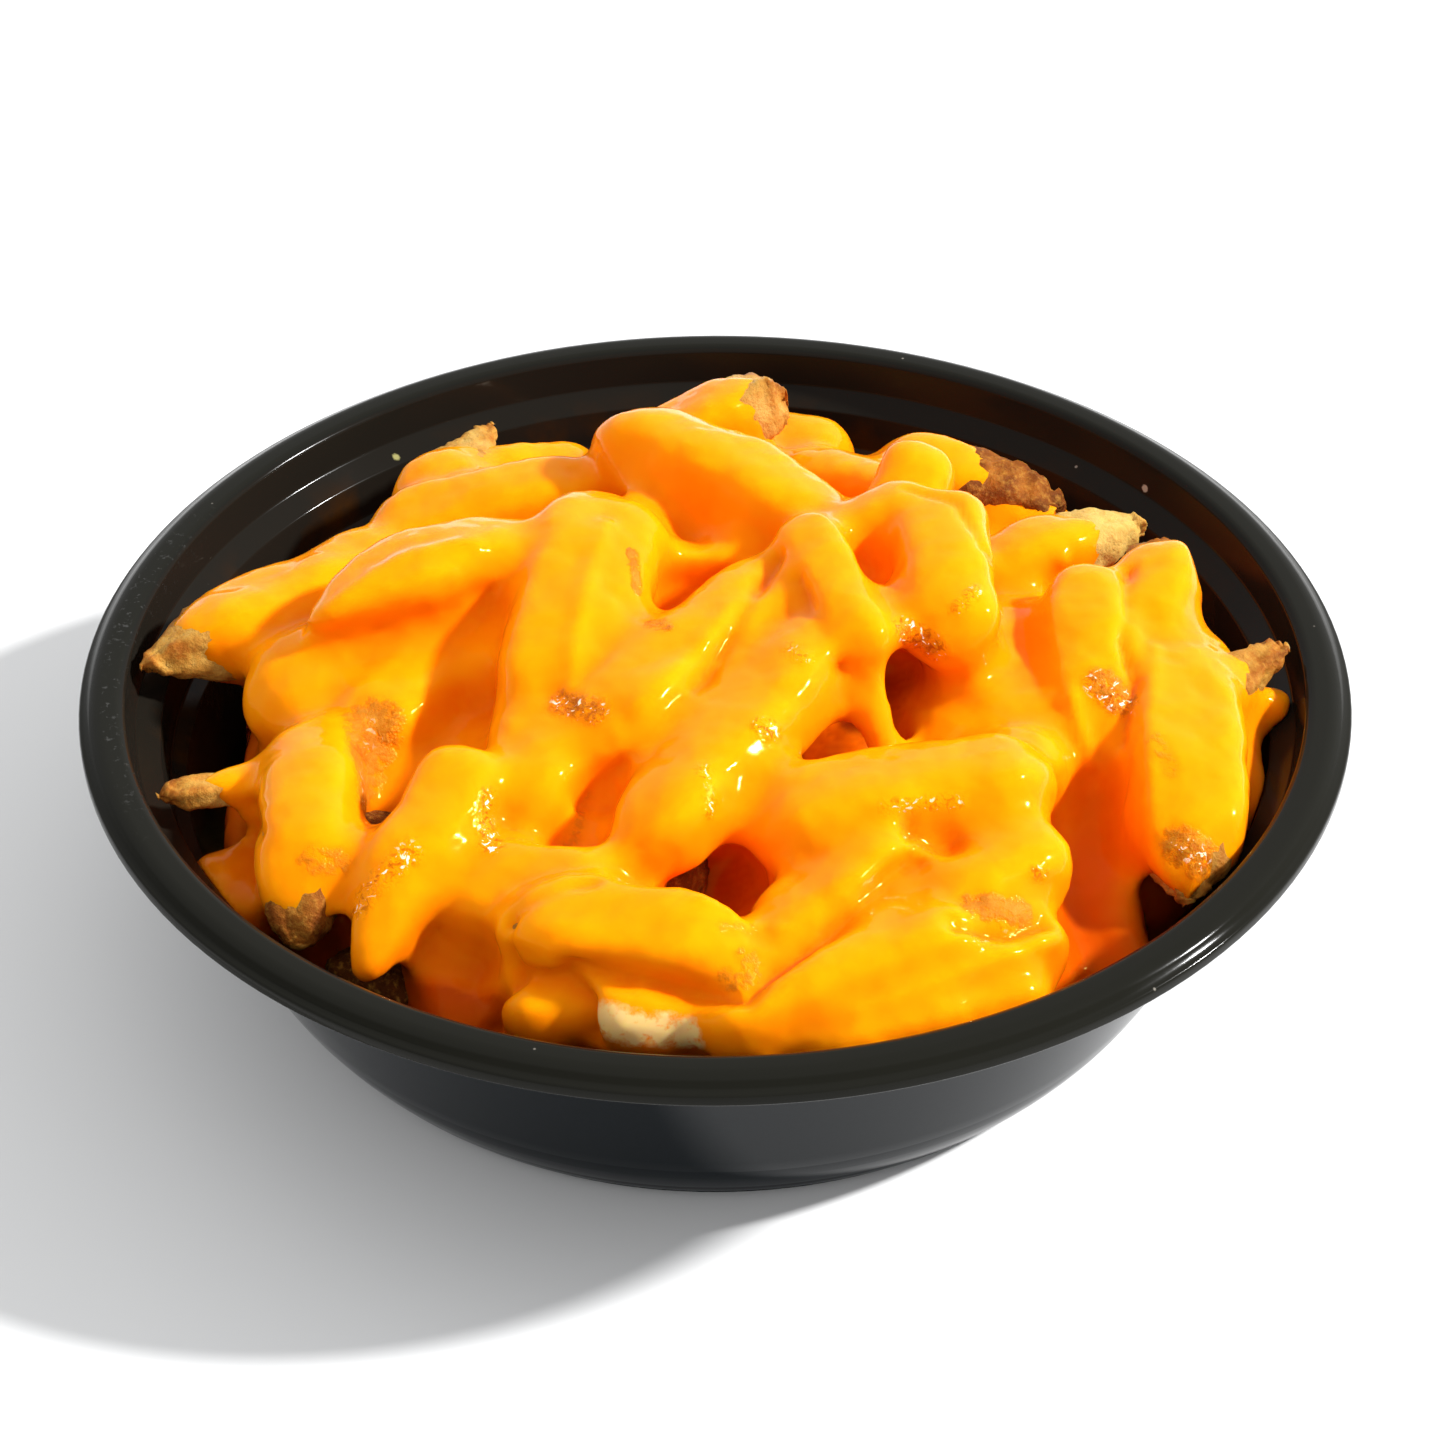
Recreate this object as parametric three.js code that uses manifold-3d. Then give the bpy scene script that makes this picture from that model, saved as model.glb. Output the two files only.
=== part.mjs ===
// Cheese fries in a round black take-out bowl.
// Millimetres, +Z up: the bowl stands on z = 0 with its axis on Z, and -Y is the side nearest the viewer.
import * as THREE from 'three';
import { mergeVertices } from 'three/addons/utils/BufferGeometryUtils.js';
import Module from 'manifold-3d';

const wasm = await Module();
wasm.setup();

// The bowl's driving sizes
const lipRadius = 92;
const rimHeight = 46;
const mouthRadius = 85.3; // inner edge of the flange
const footRadius = 64.1;
const wall = 1.3;
const bowlSides = 48;

// The food's driving sizes
const clearance = 0.4; // between pieces that touch
const coat = 1.6; // depth of the sauce on a fry
const heapTop = 49; // top of the packed body under the visible fries
const blanket = 3.4; // depth of the sauce between the fries
const heapSides = 24;
const fryRings = 4;
const unevenness = 0.1; // how much the width of a fry wavers
const roomTop = 80; // above all the food

// One closed mesh for the solid library, with its faces pointing out
function solid(geometry) {
  const shape = geometry.clone();
  for (const extra of Object.keys(shape.attributes)) if (extra !== 'position') shape.deleteAttribute(extra);
  const merged = mergeVertices(shape, 1e-4);
  const points = merged.attributes.position.array;
  const corners = merged.index.array;
  const kept = [];
  let volume = 0;
  const at = [new THREE.Vector3(), new THREE.Vector3(), new THREE.Vector3()];
  for (let i = 0; i < corners.length; i += 3) {
    const [a, b, c] = corners.subarray(i, i + 3);
    if (a === b || b === c || c === a) continue;
    kept.push(a, b, c);
    [a, b, c].forEach((corner, k) => at[k].fromArray(points, 3 * corner));
    volume += at[0].dot(at[1].clone().cross(at[2]));
  }
  if (volume < 0) kept.reverse();
  const mesh = new wasm.Mesh({ numProp: 3, vertProperties: points, triVerts: new Uint32Array(kept) });
  return new wasm.Manifold(mesh);
}

function toGeometry(manifold) {
  const mesh = manifold.getMesh();
  const geometry = new THREE.BufferGeometry();
  geometry.setAttribute('position', new THREE.BufferAttribute(mesh.vertProperties, 3));
  geometry.setIndex(new THREE.BufferAttribute(mesh.triVerts, 1));
  geometry.computeVertexNormals();
  return geometry;
}

// The biggest piece, so that no loose scrap stays
function largest(manifold) {
  return manifold.decompose().reduce((best, piece) => (piece.volume() > best.volume() ? piece : best));
}

// Spin a profile of [radius, height] pairs round Z
function turned(profile, sides) {
  const points = profile.map(([radius, height]) => new THREE.Vector2(radius, height));
  return solid(new THREE.LatheGeometry(points, sides).rotateX(Math.PI / 2));
}

// Small repeatable random numbers from 0 to 1
function seeded(seed) {
  let state = seed;
  return () => {
    state = (state * 1664525 + 1013904223) % 4294967296;
    return state / 4294967296;
  };
}

// Bowl: flat foot, rounded heel, straight flared side, two steps inside and a flange with a hanging lip
const bandTop = 2.3;
const sideBottom = [72.2, 12];
const sideTop = [82.6, 36.8];
const stepOuter = [84.3, 40.1];
const stepInner = [80.9, 37.9];
const lowStepOuter = [79.85, 32.2];
const lowStepInner = [77.7, 30.9];
const floorTop = 1.7;
const heelStart = [footRadius - 1.6, 0];
const heelCorner = [68, 3];

function heel(inset, lift, count) {
  const curve = new THREE.QuadraticBezierCurve(
    new THREE.Vector2(heelStart[0] - inset, heelStart[1] + lift),
    new THREE.Vector2(heelCorner[0] - inset, heelCorner[1] + lift / 2),
    new THREE.Vector2(sideBottom[0] - inset, sideBottom[1] + lift / 2),
  );
  return curve.getPoints(count).map((point) => [point.x, point.y]);
}

function makeBowl() {
  const outside = [
    [0, 0],
    [footRadius - 0.6, 0],
    [footRadius, 0.6],
    [footRadius + 0.4, bandTop],
    [footRadius + 1.9, bandTop + 0.3],
    [69.2, 7],
    sideBottom,
    sideTop,
    [stepOuter[0] + wall, stepOuter[1] - 0.6],
    [mouthRadius + 1, rimHeight - 1.6],
    [lipRadius - 1, rimHeight - 1.6],
    [lipRadius - 0.9, rimHeight - 3.5],
    [lipRadius - 0.3, rimHeight - 3.65],
    [lipRadius, rimHeight - 3.2],
    [lipRadius, rimHeight - 1.6],
    [lipRadius - 1.2, rimHeight - 1.1],
    [lipRadius - 1.7, rimHeight - 0.3],
    [lipRadius - 3, rimHeight],
    [mouthRadius + 0.7, rimHeight],
  ];
  const inside = [
    [mouthRadius, rimHeight - 0.5],
    stepOuter,
    stepInner,
    lowStepOuter,
    lowStepInner,
    ...heel(wall, floorTop, 3).reverse(),
    [0, floorTop],
  ];
  return turned([...outside, ...inside], bowlSides);
}

// Everything that the food may fill: the inside of the bowl, past its steps, and the air above its mouth
function makeRoom() {
  const mouth = mouthRadius - clearance;
  const profile = [
    [0, floorTop + clearance],
    ...heel(wall + clearance, floorTop + clearance, 2),
    [lowStepInner[0] - clearance, lowStepInner[1]],
    [stepInner[0] - clearance, stepInner[1]],
    [mouth, rimHeight],
    [mouth, roomTop],
    [0, roomTop],
  ];
  return turned(profile, heapSides);
}

// The packed body of the heap: it follows the bowl and ends in a low dome
function heapBody(lift) {
  const side = clearance + 0.6;
  const profile = [
    [0, floorTop + clearance - lift],
    ...heel(wall + side, floorTop + clearance - lift, 2),
    [74 + lift, heapTop - 21],
    [73 + lift, heapTop - 18 + lift],
    [66, heapTop - 13 + lift],
    [52, heapTop - 7 + lift],
    [32, heapTop - 2 + lift],
    [0, heapTop + lift],
  ];
  return turned(profile, heapSides);
}

// A fry along a bowed spine. Its section is a square with soft corners, and its ends taper.
// blunt is the share of the width left at each end, and reach the share of the length that tapers.
// span keeps only a stretch of the spine, and grow makes it fatter all round.
function fryShape({ from, to, wide, thick = wide * 0.86, bow = 1, blunt = [0.62, 0.62], reach = 0.22, seed = 1 },
  { span = [0, 1], grow = 0, corner = 0.77 } = {}) {
  const start = new THREE.Vector3(...from);
  const end = new THREE.Vector3(...to);
  const control = start.clone().lerp(end, 0.5);
  control.z += 2 * bow;
  const spine = new THREE.QuadraticBezierCurve3(start, control, end);
  const random = seeded(seed);
  const waves = Array.from({ length: fryRings + 1 }, () => 1 + unevenness * (random() - 0.5));
  const box = new THREE.BoxGeometry(1, 1, 1, 2, 2, fryRings);
  const place = box.attributes.position;
  const up = new THREE.Vector3(0, 0, 1);
  for (let i = 0; i < place.count; i += 1) {
    const ring = Math.round((place.getZ(i) + 0.5) * fryRings);
    const along = 0.5 - 0.5 * Math.cos((Math.PI * ring) / fryRings);
    const near = Math.sin((Math.min(1, along / reach) * Math.PI) / 2);
    const far = Math.sin((Math.min(1, (1 - along) / reach) * Math.PI) / 2);
    const taper = Math.min(blunt[0] + (1 - blunt[0]) * near, blunt[1] + (1 - blunt[1]) * far);
    const isCorner = Math.abs(place.getX(i)) > 0.4 && Math.abs(place.getY(i)) > 0.4;
    const size = taper * waves[ring] * (isCorner ? corner : 1);
    const t = span[0] + (span[1] - span[0]) * along;
    const tangent = spine.getTangent(t);
    const side = new THREE.Vector3().crossVectors(up, tangent).normalize();
    const top = new THREE.Vector3().crossVectors(tangent, side);
    const point = spine.getPoint(t);
    point.addScaledVector(side, place.getX(i) * (wide * size + 2 * grow));
    point.addScaledVector(top, place.getY(i) * (thick * size + 2 * grow));
    const cap = ring === 0 ? -1 : ring === fryRings ? 1 : 0;
    const middle = Math.abs(place.getX(i)) < 0.1 && Math.abs(place.getY(i)) < 0.1;
    point.addScaledVector(tangent, cap * (grow + (middle ? 0.12 * wide * taper : 0)));
    place.setXYZ(i, point.x, point.y, point.z);
  }
  return solid(box);
}

// Fries under the sauce, each along its own line as it lies in the heap
const coated = [
  { from: [-17, 45, 54], to: [19, 19, 52], wide: 16, bow: 2.5 }, // ridge at the back
  { from: [-60, 2, 49], to: [-29, 21, 53], wide: 16, thick: 12, blunt: [0.3, 0.5], reach: 0.5 },
  { from: [-52, 33, 43], to: [-17, 41, 47], wide: 14 },
  { from: [-15, 26, 54], to: [-23, -22, 50], wide: 19, thick: 13, bow: 2.5 }, // broad one, upright in the middle
  { from: [-24, -8, 48], to: [-26, -40, 46], wide: 14 },
  { from: [-13, 29, 55], to: [-8, 16, 52], wide: 6, bow: 0 },
  { from: [-10, 16, 52], to: [10, 18, 52], wide: 6, bow: -0.5 },
  { from: [14, 10, 53], to: [-19, -31, 50], wide: 16 }, // two long ones, side by side
  { from: [18, -5, 53], to: [-11, -50, 48], wide: 15 },
  { from: [12, 14, 58], to: [22, -17, 56], wide: 10, thick: 9 },
  { from: [22, -15, 56], to: [24, -22, 47], wide: 2.6, thick: 2.6, bow: 0 }, // string of sauce
  { from: [15, 14, 55], to: [33, 20, 58], wide: 10, thick: 9 },
  { from: [32, 22, 56], to: [32, -13, 54], wide: 15, thick: 12, bow: 3 }, // arched finger
  { from: [26, 24, 50], to: [33, 39, 56], wide: 12, bow: 0 },
  { from: [43, 12, 48], to: [46, -22, 45], wide: 14, thick: 10 },
  { from: [54, 12, 52], to: [53, -32, 46], wide: 14 }, // standing pair on the right
  { from: [75, 3, 39], to: [74, -27, 36], wide: 11 },
  { from: [5, -44, 47], to: [50, -34, 49], wide: 17, bow: 1.5 },
  { from: [36, -15, 46], to: [49, -33, 48], wide: 15 },
  { from: [29, -42, 47], to: [7, -66, 42], wide: 16 },
  { from: [50, -44, 46], to: [29, -59, 45], wide: 15 },
  { from: [-2, -76, 40], to: [37, -61, 45], wide: 16 }, // along the front of the rim
  { from: [28, -66, 42], to: [57, -55, 41], wide: 15 },
  { from: [54, -26, 46], to: [53, -60, 39], wide: 14 },
  { from: [-29, -61, 46], to: [6, -67, 46], wide: 14, thick: 12, blunt: [0.6, 0.4], reach: 0.35 },
  { from: [-23, -56, 44], to: [-23, -75, 39], wide: 13 },
  { from: [-42, -50, 42], to: [-31, -70, 38], wide: 13 },
  { from: [-35, -32, 50], to: [-48, -64, 38], wide: 15, thick: 11, blunt: [0.8, 0.3], reach: 0.7 },
  { from: [-43, -49, 43], to: [-12, -55, 45], wide: 14 },
  { from: [-67, -16, 45], to: [-36, -2, 50], wide: 20, thick: 13 },
  { from: [-32, 8, 50], to: [-48, -20, 46], wide: 16, thick: 11 },
  { from: [-45, -14, 46], to: [-49, -36, 41], wide: 12 },
  { from: [-70, -19, 42], to: [-65, -43, 37], wide: 13 },
];

// Fries whose far end stands clear of the sauce, for the share given by bare
const poking = [
  { from: [-19, 48, 40], to: [10.5, 62, 51.5], wide: 15, bare: 0.18, bow: 1.5 }, // top of the back
  { from: [-46, 34, 38], to: [-35, 66, 44.5], wide: 12, bare: 0.3, blunt: [0.6, 0.3], reach: 0.4 },
  { from: [-42, 34, 42], to: [-83.5, -1, 45], wide: 14, bare: 0.2, bow: -1, blunt: [0.6, 0.25], reach: 0.35 },
  { from: [28, 46, 41], to: [56, 44, 42.5], wide: 13, bare: 0.5, blunt: [0.6, 0.35], reach: 0.45 },
  { from: [34, 16, 44], to: [65.5, 31.5, 47], wide: 12, bare: 0.22, bow: 1.5, blunt: [0.6, 0.3], reach: 0.4 },
  { from: [58, -13, 39.5], to: [67, 21, 49.5], wide: 14, bare: 0.12, bow: 2.5 },
  { from: [67, 11, 39], to: [65, -47, 38], wide: 17, thick: 14, bare: 0.1, bow: 6.5, blunt: [0.7, 0.45] },
  { from: [56, -22, 39.5], to: [83, 1.5, 46.5], wide: 9.5, bare: 0.4, blunt: [0.7, 0.4], reach: 0.5 },
  { from: [-9, -56, 43], to: [-9, -79, 39.5], wide: 16, bare: 0.25, blunt: [0.8, 0.85] },
  { from: [-55, -14, 40], to: [-55, -57, 39], wide: 15, bare: 0.1, bow: 6.5, blunt: [0.7, 0.55] },
  { from: [-53, -23, 40], to: [-79, -29, 44.5], wide: 9, bare: 0.5, blunt: [0.7, 0.6] },
];

// Fries that the photograph's view doesn't reach, laid round the back of the heap by a rule
const hidden = { count: 6, startAngle: 40, sweep: 106, radii: [62, 50], heights: [40, 46] };
function hiddenFries() {
  const random = seeded(7);
  return Array.from({ length: hidden.count }, (_, i) => {
    const angle = THREE.MathUtils.degToRad(hidden.startAngle + (hidden.sweep * (i + 0.5)) / hidden.count);
    const radius = hidden.radii[i % 2] + 4 * (random() - 0.5);
    const height = hidden.heights[i % 2];
    const heading = angle + Math.PI / 2 + (random() - 0.5) * 1.3;
    const half = 13 + 6 * random();
    const [x, y] = [radius * Math.cos(angle), radius * Math.sin(angle)];
    const [dx, dy] = [half * Math.cos(heading), half * Math.sin(heading)];
    const tilt = (random() - 0.5) * 6;
    return { from: [x - dx, y - dy, height - tilt], to: [x + dx, y + dy, height + tilt], wide: 12 + 2 * random() };
  });
}

function join(shapes) {
  return shapes.reduce((whole, shape) => whole.add(shape));
}

function bareFries(grow) {
  return poking.map((row, i) => {
    const core = { ...row, wide: row.wide - 2 * coat, thick: (row.thick ?? row.wide * 0.86) - 2 * coat, seed: i + 60 };
    return fryShape(core, { grow, corner: 0.84 });
  });
}

function coatedFries() {
  const whole = [...coated, ...hiddenFries()].map((row, i) => fryShape({ ...row, seed: i + 1 }));
  const sleeves = poking.map((row, i) => fryShape({ ...row, blunt: [row.blunt?.[0] ?? 0.6, 0.8], seed: i + 60 },
    { span: [0, 1 - row.bare] }));
  return [...whole, ...sleeves];
}

const room = makeRoom();

function makeFries() {
  return largest(join([heapBody(0), ...bareFries(0)]).intersect(room));
}

function makeSauce() {
  const poured = join([heapBody(blanket), ...coatedFries()]).intersect(room);
  const filling = join([heapBody(clearance), ...bareFries(clearance)]);
  return largest(poured.subtract(filling));
}

const finishes = {
  bowl: { color: 0x16181a, roughness: 0.3, metalness: 0 },
  fries: { color: 0xb9803f, roughness: 0.75, metalness: 0 },
  cheese_sauce: { color: 0xffa814, roughness: 0.25, metalness: 0 },
};

function piece(name, manifold) {
  const mesh = new THREE.Mesh(toGeometry(manifold), new THREE.MeshStandardMaterial(finishes[name]));
  mesh.name = name;
  return mesh;
}

const group = new THREE.Group();
group.add(piece('bowl', makeBowl()));
group.add(piece('fries', makeFries()));
group.add(piece('cheese_sauce', makeSauce()));

export default group;
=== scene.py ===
import math

import bmesh
import bpy
import numpy as np
from mathutils import Matrix, Vector, noise
from mathutils.bvhtree import BVHTree


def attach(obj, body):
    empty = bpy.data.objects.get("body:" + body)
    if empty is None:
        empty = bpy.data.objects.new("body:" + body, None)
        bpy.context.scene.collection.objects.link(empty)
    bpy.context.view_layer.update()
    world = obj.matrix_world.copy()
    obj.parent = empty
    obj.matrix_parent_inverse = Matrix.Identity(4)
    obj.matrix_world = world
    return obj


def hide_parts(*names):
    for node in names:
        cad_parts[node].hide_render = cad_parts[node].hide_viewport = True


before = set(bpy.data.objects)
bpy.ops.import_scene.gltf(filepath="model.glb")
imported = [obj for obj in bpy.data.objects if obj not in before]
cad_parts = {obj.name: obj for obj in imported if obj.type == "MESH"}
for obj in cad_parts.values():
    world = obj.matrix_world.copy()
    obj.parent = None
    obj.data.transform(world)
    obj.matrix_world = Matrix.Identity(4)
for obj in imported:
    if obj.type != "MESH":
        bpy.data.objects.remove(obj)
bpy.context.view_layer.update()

mm = 0.001
up = Vector((0, 0, 1))
scene = bpy.context.scene


# Camera at the photograph's viewing angle

cameraPlace = {
    "target": (0.68, 0.0, 34.41),
    "elevation": 37.16,  # degrees above the horizon
    "distance": 560.0,
    "roll": -0.203,  # degrees
    "lens": 95.07,
    "sensor": 36.0,
}
frameSize = 1440  # pixels each way


def cameraFrame():
    tilt = math.radians(cameraPlace["elevation"])
    back = Vector((0, -math.cos(tilt), math.sin(tilt)))
    roll = Matrix.Rotation(math.radians(cameraPlace["roll"]), 3, "Z")
    turn = Matrix.Rotation(math.pi / 2 - tilt, 3, "X") @ roll
    return Vector(cameraPlace["target"]) + back * cameraPlace["distance"], turn


def makeCamera():
    place, turn = cameraFrame()
    data = bpy.data.cameras.new("camera")
    data.lens = cameraPlace["lens"]
    data.sensor_width = cameraPlace["sensor"]
    data.clip_start = 0.05
    camera = bpy.data.objects.new("camera", data)
    camera.matrix_world = Matrix.Translation(place * mm) @ turn.to_4x4()
    scene.collection.objects.link(camera)
    scene.camera = camera


def pixelRay(pixel):
    # start and direction, in mm, of the sight line through a pixel of the photograph
    place, turn = cameraFrame()
    half = cameraPlace["sensor"] / 2 / cameraPlace["lens"]
    x, y = (2 * pixel[0] / frameSize - 1) * half, (1 - 2 * pixel[1] / frameSize) * half
    return place, (turn @ Vector((x, y, -1))).normalized()


# Node helpers

def newMaterial(name, values):
    material = bpy.data.materials.new(name)
    material.use_nodes = True
    shader = material.node_tree.nodes["Principled BSDF"]
    for socket, value in values.items():
        shader.inputs[socket].default_value = value
    return material, material.node_tree, shader


def addNode(tree, kind, values=None, **settings):
    node = tree.nodes.new("ShaderNode" + kind)
    for key, value in settings.items():
        setattr(node, key, value)
    for key, value in (values or {}).items():
        node.inputs[key].default_value = value
    return node


def wire(tree, start, end):
    tree.links.new(start, end)


def feed(tree, socket, value):
    # a number or a colour is set on the socket, anything else is wired to it
    if value is None:
        return
    if isinstance(value, (int, float)):
        socket.default_value = value
    elif isinstance(value, tuple):
        socket.default_value = (*value, 1.0) if len(value) < len(socket.default_value) else value
    else:
        wire(tree, value, socket)


def addNoise(tree, vector, scale, detail=3.0, roughness=0.5, distortion=0.0):
    node = addNode(tree, "TexNoise", {
        "Scale": scale, "Detail": detail, "Roughness": roughness, "Distortion": distortion})
    wire(tree, vector, node.inputs["Vector"])
    return node.outputs["Fac"]


def addRamp(tree, value, stops):
    node = addNode(tree, "ValToRGB")
    ramp = node.color_ramp
    while len(ramp.elements) < len(stops):
        ramp.elements.new(1.0)
    for element, (place, color) in zip(ramp.elements, stops):
        element.position = place
        element.color = (*color, 1.0)
    wire(tree, value, node.inputs["Fac"])
    return node.outputs["Color"]


def addRange(tree, value, low, high, newLow=0.0, newHigh=1.0):
    node = addNode(tree, "MapRange", {
        "From Min": low, "From Max": high, "To Min": newLow, "To Max": newHigh})
    wire(tree, value, node.inputs["Value"])
    return node.outputs["Result"]


def addMath(tree, operation, first, second=None):
    node = addNode(tree, "Math", operation=operation)
    for socket, value in zip(node.inputs, (first, second)):
        feed(tree, socket, value)
    return node.outputs[0]


def multiply(tree, first, second):
    return addMath(tree, "MULTIPLY", first, second)


def addMix(tree, mask, first, second, blend="MIX"):
    node = addNode(tree, "Mix", data_type="RGBA", blend_type=blend)
    for place, value in ((0, mask), (6, first), (7, second)):  # the node's factor and two colours
        feed(tree, node.inputs[place], value)
    return node.outputs[2]


def addBump(tree, height, strength, distance):
    node = addNode(tree, "Bump", {"Strength": strength, "Distance": distance})
    wire(tree, height, node.inputs["Height"])
    return node.outputs["Normal"]


def addAttribute(tree, name):
    return addNode(tree, "Attribute", attribute_name=name).outputs["Fac"]


def objectPlace(tree):
    return addNode(tree, "TexCoord").outputs["Object"]


def addParts(tree, vector):
    node = addNode(tree, "SeparateXYZ")
    wire(tree, vector, node.inputs[0])
    return node.outputs["X"], node.outputs["Y"], node.outputs["Z"]


def newGroup(name, inputs, outputs):
    group = bpy.data.node_groups.new(name, "ShaderNodeTree")
    for side, sockets in (("INPUT", inputs), ("OUTPUT", outputs)):
        for socket, kind in sockets.items():
            group.interface.new_socket(socket, in_out=side, socket_type="NodeSocket" + kind)
    return group, group.nodes.new("NodeGroupInput").outputs, group.nodes.new("NodeGroupOutput").inputs


def addGroup(tree, group, **values):
    node = addNode(tree, "Group")
    node.node_tree = group
    for name, value in values.items():
        feed(tree, node.inputs[name], value)
    return node.outputs


# Meshes

def linkMesh(bm, name):
    # brings a bmesh in mm to an object in metres at the origin
    bmesh.ops.scale(bm, vec=(mm, mm, mm), verts=bm.verts)
    mesh = bpy.data.meshes.new(name)
    bm.to_mesh(mesh)
    bm.free()
    mesh.shade_smooth()
    piece = bpy.data.objects.new(name, mesh)
    scene.collection.objects.link(piece)
    return piece


def dress(piece, material, slot, *nodes):
    piece.data.materials.clear()
    piece.data.materials.append(material)
    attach(piece, "root")
    if nodes:
        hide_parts(*nodes)
    return piece


def applyModifiers(piece):
    graph = bpy.context.evaluated_depsgraph_get()
    mesh = bpy.data.meshes.new_from_object(piece.evaluated_get(graph))
    piece.modifiers.clear()
    piece.data = mesh


def spinProfile(bm, outline, turns):
    # an outline of (radius, height, rounding) turned round Z; it starts and ends on the axis
    verts = [bm.verts.new((radius, 0, height)) for radius, height, _ in outline]
    for first, second in zip(verts, verts[1:]):
        bm.edges.new((first, second))
    for size in sorted({rounding for *_, rounding in outline if rounding}):
        corners = [vert for vert, (*_, rounding) in zip(verts, outline) if rounding == size]
        bmesh.ops.bevel(bm, geom=corners, offset=size, offset_type="OFFSET", segments=4,
                        profile=0.5, affect="VERTICES", material=-1)
    bmesh.ops.spin(bm, geom=bm.verts[:] + bm.edges[:], cent=(0, 0, 0), axis=(0, 0, 1),
                   angle=2 * math.pi, steps=turns, use_merge=True)
    bmesh.ops.remove_doubles(bm, verts=bm.verts, dist=1e-4)
    bmesh.ops.recalc_face_normals(bm, faces=bm.faces)


# Bowl

bowl = {
    "lipRadius": 92.0,
    "rimHeight": 46.0,
    "mouthRadius": 85.3,
    "footRadius": 64.1,
    "floorTop": 1.7,
    "bandTop": 2.3,  # height of the recessed band at the foot
    "turns": 160,
}
# the inner side from the mouth down to the floor: radius, height and rounding
sideInside = [
    (84.3, 40.1, 0.35),
    (80.9, 37.9, 0.3),
    (79.85, 32.2, 0.3),
    (77.7, 30.9, 0.3),
    (70.9, 12.85, 3.0),
    (66.7, 4.6, 2.5),
    (61.2, bowl["floorTop"], 1.5),
]


def insideRadius(height):
    # the bowl's inner radius at a height above the heel
    corners = [*reversed(sideInside), (bowl["mouthRadius"], bowl["rimHeight"] - 0.5, 0)]
    radii, heights, _ = zip(*corners)
    return np.interp(height, heights, radii)


def makeBowl():
    lip, rim, mouth, foot = bowl["lipRadius"], bowl["rimHeight"], bowl["mouthRadius"], bowl["footRadius"]
    outside = [
        (0, 0, 0),
        (foot - 0.6, 0, 0),
        (foot, 0.5, 0.25),
        (foot + 0.4, bowl["bandTop"] - 0.1, 0),
        (foot + 1.8, bowl["bandTop"] + 0.1, 0.3),
        (69.2, 6.6, 3.0),
        (72.2, 12.0, 3.0),
        (82.6, 36.8, 0.8),
        (85.6, 39.5, 0.6),
        (mouth + 1.0, rim - 1.6, 0.4),
        (lip - 1.0, rim - 1.6, 0.3),
        (lip - 0.95, rim - 3.4, 0),
        (lip - 0.5, rim - 3.65, 0.2),
        (lip, rim - 3.3, 0.25),
        (lip, rim - 1.7, 0.4),
        (lip - 1.2, rim - 1.25, 0),
        (lip - 1.5, rim - 0.75, 0),
        (lip - 2.9, rim, 0.7),
        (mouth + 1.0, rim, 0.5),
    ]
    inside = [(mouth, rim - 0.7, 0.35), *sideInside, (0, bowl["floorTop"], 0)]
    bm = bmesh.new()
    spinProfile(bm, outside + inside, bowl["turns"])
    wall = bm.verts.layers.float.new("inside")
    for vert in bm.verts:
        vert[wall] = float(vert.co.xy.length < insideRadius(vert.co.z) + 0.4)
    return linkMesh(bm, "take_out_bowl")


# crumb, two reddish traces and a droplet on it: where and how wide, in mm, and their colour
bowlMarks = [
    {"at": (-51, 64.3, 38.8), "wide": 0.9, "color": (0.26, 0.24, 0.09)},
    {"at": (-19, 81.5, 45), "wide": 1.0, "color": (0.12, 0.012, 0.012)},
    {"at": (-18.4, 80, 44.8), "wide": 0.8, "color": (0.12, 0.012, 0.012)},
    {"at": (67.4, 50.9, 41.2), "wide": 0.9, "color": (0.3, 0.28, 0.22)},
]


def addSpot(tree, place, mark):
    # 1 within an uneven spot, 0 outside it
    gap = addNode(tree, "VectorMath", {1: Vector(mark["at"]) * mm}, operation="DISTANCE")
    wire(tree, place, gap.inputs[0])
    uneven = multiply(tree, addNoise(tree, place, 800.0, 3.0), mark["wide"] * mm)
    edge = addMath(tree, "ADD", gap.outputs["Value"], uneven)
    return addRange(tree, edge, 1.3 * mark["wide"] * mm, 1.0 * mark["wide"] * mm)


# the plastic's colours, some lightened or tinted to stand in for sheen and reflection, and where a look
# starts and ends: in m from the axis, along X or above the table
plastic = {
    # bluish black: the blue is painted reflection of the surroundings
    "wall": (0.0023, 0.0037, 0.005),
    # lighter than the wall: painted sheen on the flange
    "flange": (0.0092, 0.009, 0.0068),
    # warm brown-black inside: painted reflection of the food, partly a greasy film
    "inside": (0.009, 0.0075, 0.0055),
    "film": (0.03, 0.011, 0.002),
    "dust": (0.22, 0.2, 0.17),
    "nicks": (0.035, 0.035, 0.032),
    "flangeRing": (0.0845, 0.0862),
    "rubbedSide": (-0.076, -0.086),
    "rubbedRing": (0.0893, 0.088),
    "filmHeight": (0.04, 0.034),
    # the crease between flange and lip, where the reflection is dimmed as painted shade
    "creaseInner": (0.0900, 0.0903),
    "creaseOuter": (0.0911, 0.0908),
    "creaseHeight": (0.044, 0.0442),
    "roughness": (0.06, 0.17),
    "flangeDulling": 0.02,
    "ior": 1.3,
    "rimLevel": 0.17,  # how strongly the rim and the inside mirror
}
# stretches of the outside from the top down, each below a height in mm, and how strongly it mirrors
outsideStretches = [
    {"name": "black plastic, outer wall", "below": 39.6, "level": 0.09},
    {"name": "black plastic, heel", "below": 13.0, "level": 0.05},
    {"name": "black plastic, foot", "below": 6.5, "level": 0.01},
]


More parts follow.
